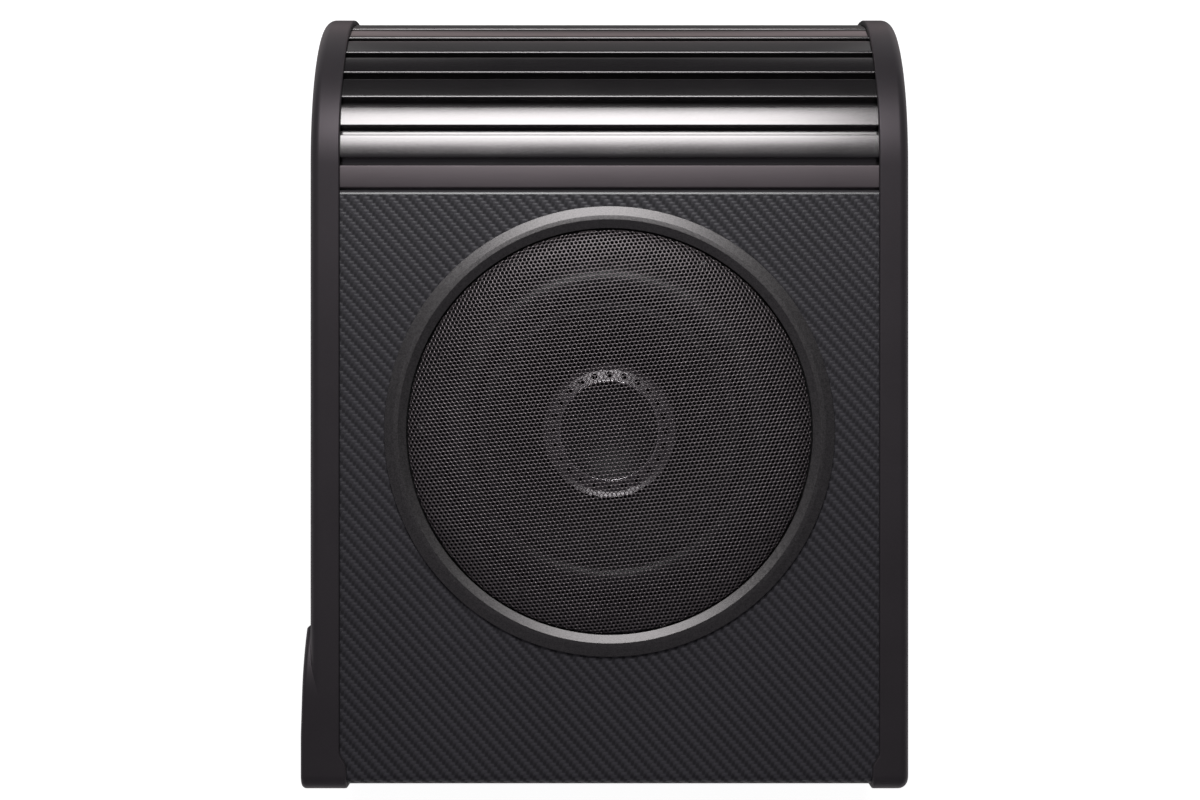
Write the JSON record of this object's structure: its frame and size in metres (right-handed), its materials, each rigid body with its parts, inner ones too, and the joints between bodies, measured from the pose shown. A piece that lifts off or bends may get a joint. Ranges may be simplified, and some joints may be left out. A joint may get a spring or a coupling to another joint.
{
  "type": "powered car subwoofer",
  "caption": "Car subwoofer cabinet with a round domed grille, a finned curved heat sink, moulded cheeks, a side port and a built-in amplifier.",
  "frame": {"origin": "centre of the flat back between the cheeks, on the plane that it lies on", "axes": "+X to the right cheek, +Y from the rounded toe to the heat sink, +Z out of the grille"},
  "size_m": [0.3107, 0.4074, 0.167],
  "materials": {
    "board": "matte",
    "vinyl": "satin",
    "cheek": "matte",
    "tube": "satin",
    "sink": "brushed",
    "strip": "brushed",
    "ring": "satin",
    "mesh": "satin",
    "foam": "matte",
    "frame": "satin",
    "rubber": "satin",
    "screw": "satin",
    "black_screw": "satin",
    "cone": "satin",
    "cap": "gloss",
    "cap_ring": "satin",
    "former": "matte",
    "copper": "satin",
    "spider": "matte",
    "steel": "satin",
    "ferrite": "matte",
    "tinned": "satin",
    "wire": "satin",
    "laminate": "satin",
    "chip": "matte",
    "clamp": "satin",
    "can": "gloss",
    "plate": "matte",
    "terminal": "satin",
    "fuse": "gloss",
    "gold": "gloss",
    "socket": "satin",
    "pot": "satin",
    "knob": "satin",
    "led": "gloss"
  },
  "bodies": {
    "cabinet": {"front_baffle": "board", "corner_batten": "board", "end_panel": "board", "back_panel": "board", "amp_divider": "board", "side_board_left": "board", "side_board_right": "board", "vinyl_wrap": "vinyl", "left_cheek": "cheek", "right_cheek": "cheek", "cheek_screws": "black_screw", "port_tube": "tube", "heat_sink": "sink", "label_strip": "strip", "grille_ring": "ring", "grille_mesh": "mesh", "frame_gasket": "foam", "basket": "frame", "trim_ring": "rubber", "driver_screws": "black_screw", "surround": "rubber", "spider": "spider", "top_plate": "steel", "magnet": "ferrite", "pole_plate": "steel", "driver_terminals": "tinned", "tinsel_leads": "tinned", "speaker_wires": "wire", "wire_grommet": "rubber", "circuit_board": "laminate", "board_posts": "tinned", "power_transistors": "chip", "transistor_clamp": "clamp", "clamp_screws": "screw", "capacitors": "can", "toroid_coils": "copper", "left_end_plate": "plate", "right_end_plate": "plate", "end_plate_screws": "screw", "terminal_strip": "terminal", "terminal_screws": "screw", "fuse_holder": "terminal", "control_board": "laminate", "rca_jacks": "gold", "high_level_socket": "socket", "remote_jack": "terminal", "control_pots": "pot", "phase_switch": "steel", "power_led": "led"},
    "cone_assembly": {"cone": "cone", "dust_cap": "cap", "dust_cap_ring": "cap_ring", "coil_former": "former", "voice_coil": "copper"},
    "gain_control": {"gain_knob": "knob"},
    "crossover_control": {"crossover_knob": "knob"},
    "bass_boost_control": {"bass_boost_knob": "knob"},
    "phase_control": {"phase_lever": "knob"},
    "first_fuse": {"fuse_one": "fuse"},
    "second_fuse": {"fuse_two": "fuse"}
  },
  "joints": [
    {"name": "cone_travel", "type": "slide", "parent": "cabinet", "child": "cone_assembly", "axis": [0, 0, 1], "range_m": [-0.007, 0.007], "stiffness_N_per_m": 3000, "deforming": ["surround", "spider", "tinsel_leads"]},
    {"name": "gain_turn", "type": "hinge", "parent": "cabinet", "child": "gain_control", "pos_m": [0.14, 0.12375, 0.069], "axis": [1, 0, 0], "range_deg": [-150, 150]},
    {"name": "crossover_turn", "type": "hinge", "parent": "cabinet", "child": "crossover_control", "pos_m": [0.14, 0.14275, 0.069], "axis": [1, 0, 0], "range_deg": [-150, 150]},
    {"name": "bass_boost_turn", "type": "hinge", "parent": "cabinet", "child": "bass_boost_control", "pos_m": [0.14, 0.16175, 0.069], "axis": [1, 0, 0], "range_deg": [-150, 150]},
    {"name": "phase_slide", "type": "slide", "parent": "cabinet", "child": "phase_control", "axis": [0, 1, 0], "range_m": [0, 0.004]},
    {"name": "first_fuse_pull", "type": "slide", "parent": "cabinet", "child": "first_fuse", "axis": [-1, 0, 0], "range_m": [0, 0.02]},
    {"name": "second_fuse_pull", "type": "slide", "parent": "cabinet", "child": "second_fuse", "axis": [-1, 0, 0], "range_m": [0, 0.02]}
  ]
}
